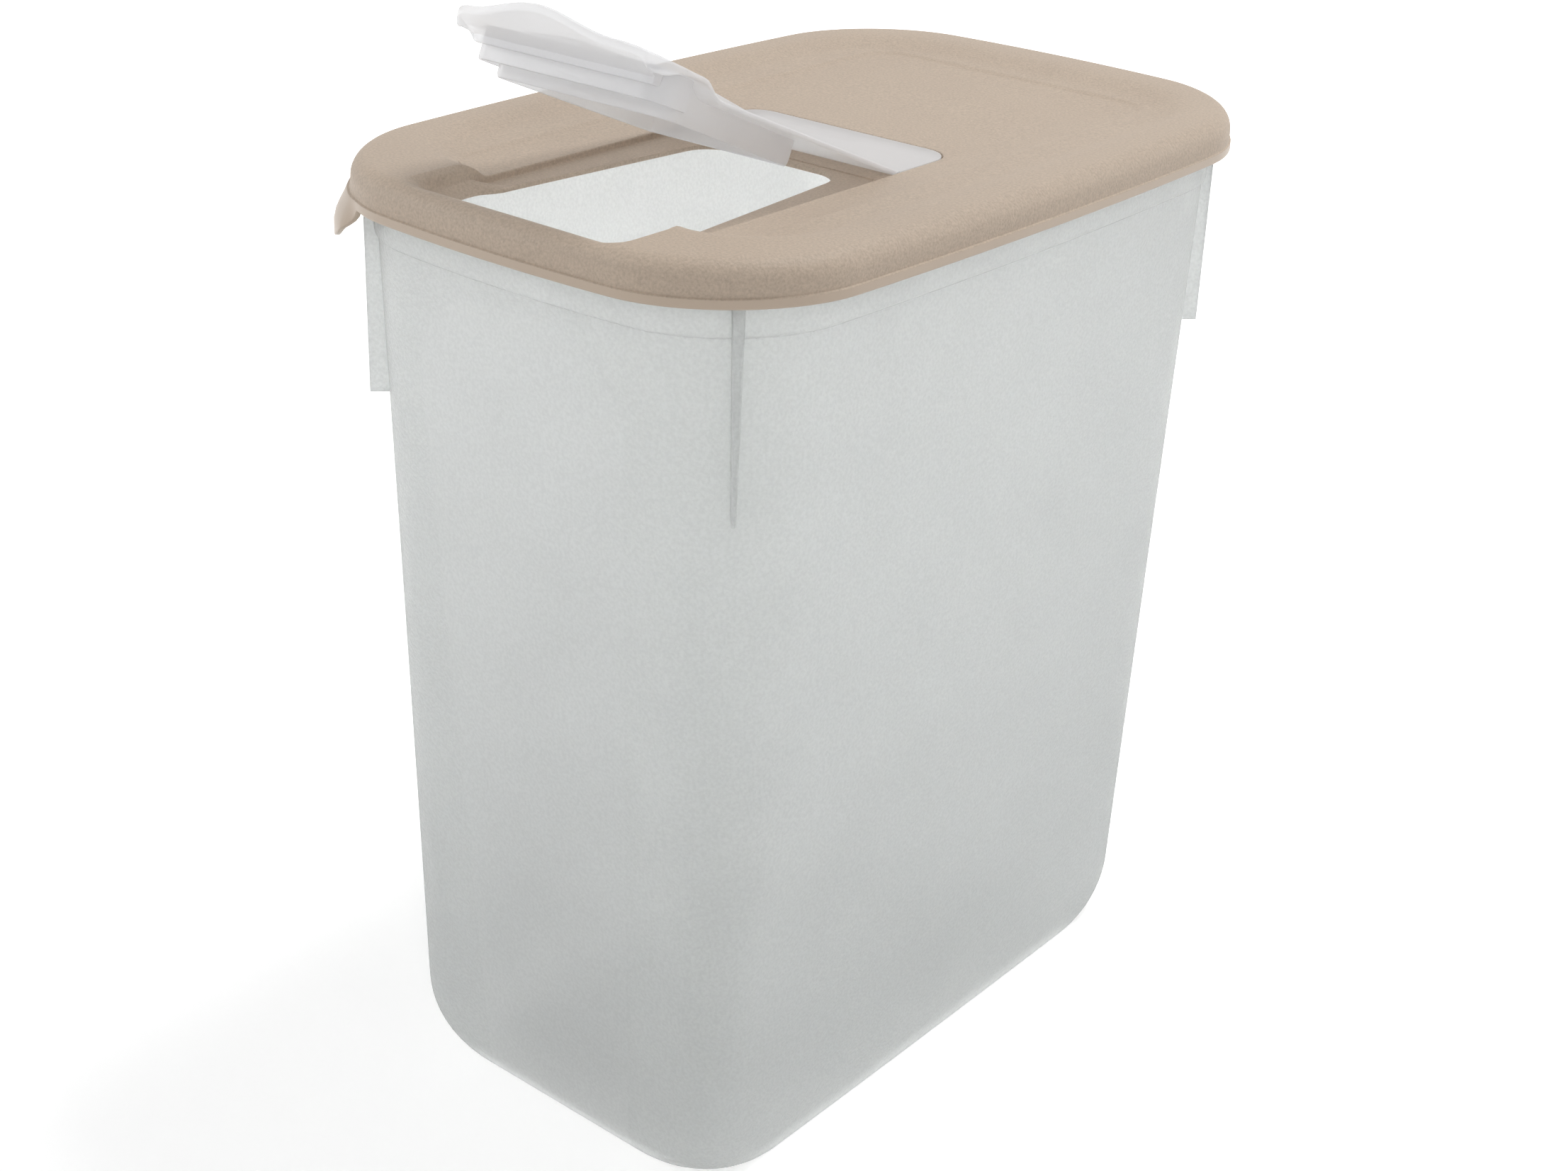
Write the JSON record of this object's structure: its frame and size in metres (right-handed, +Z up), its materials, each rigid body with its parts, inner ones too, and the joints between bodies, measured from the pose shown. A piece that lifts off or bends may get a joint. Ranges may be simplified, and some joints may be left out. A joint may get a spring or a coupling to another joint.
{
  "type": "rice bin with flip lid",
  "caption": "Tall tapered translucent kitchen bin for rice or flour, with a lift-off opaque lid and a translucent pouring flap on a film hinge.",
  "frame": {"origin": "centre of the base, on the floor that the bin stands on", "axes": "+Z up through the bin; Y along the long side, with the pouring end at -Y; X across the short side"},
  "size_m": [0.247, 0.38, 0.4899],
  "materials": {
    "frosted_tub": "frosted translucent polypropylene, with a smoother sight panel on the pouring end",
    "beige_lid": "opaque beige polypropylene with a fine spark texture and a smooth lip band",
    "clear_flap": "milky translucent polypropylene, satin"
  },
  "bodies": {
    "tub": {"tub": "frosted_tub"},
    "lid": {"lid": "beige_lid", "hinge_leaf": "clear_flap"},
    "flap": {"flap": "clear_flap"}
  },
  "joints": [
    {"name": "lid_lift", "type": "slide", "parent": "tub", "child": "lid", "axis": [0, 0, 1], "range_m": [0, 0.06]},
    {"name": "flap_hinge", "type": "hinge", "parent": "lid", "child": "flap", "pos_m": [0, -0.013, 0.411], "axis": [-1, 0, 0], "range_deg": [-23.4, 141.6]}
  ]
}
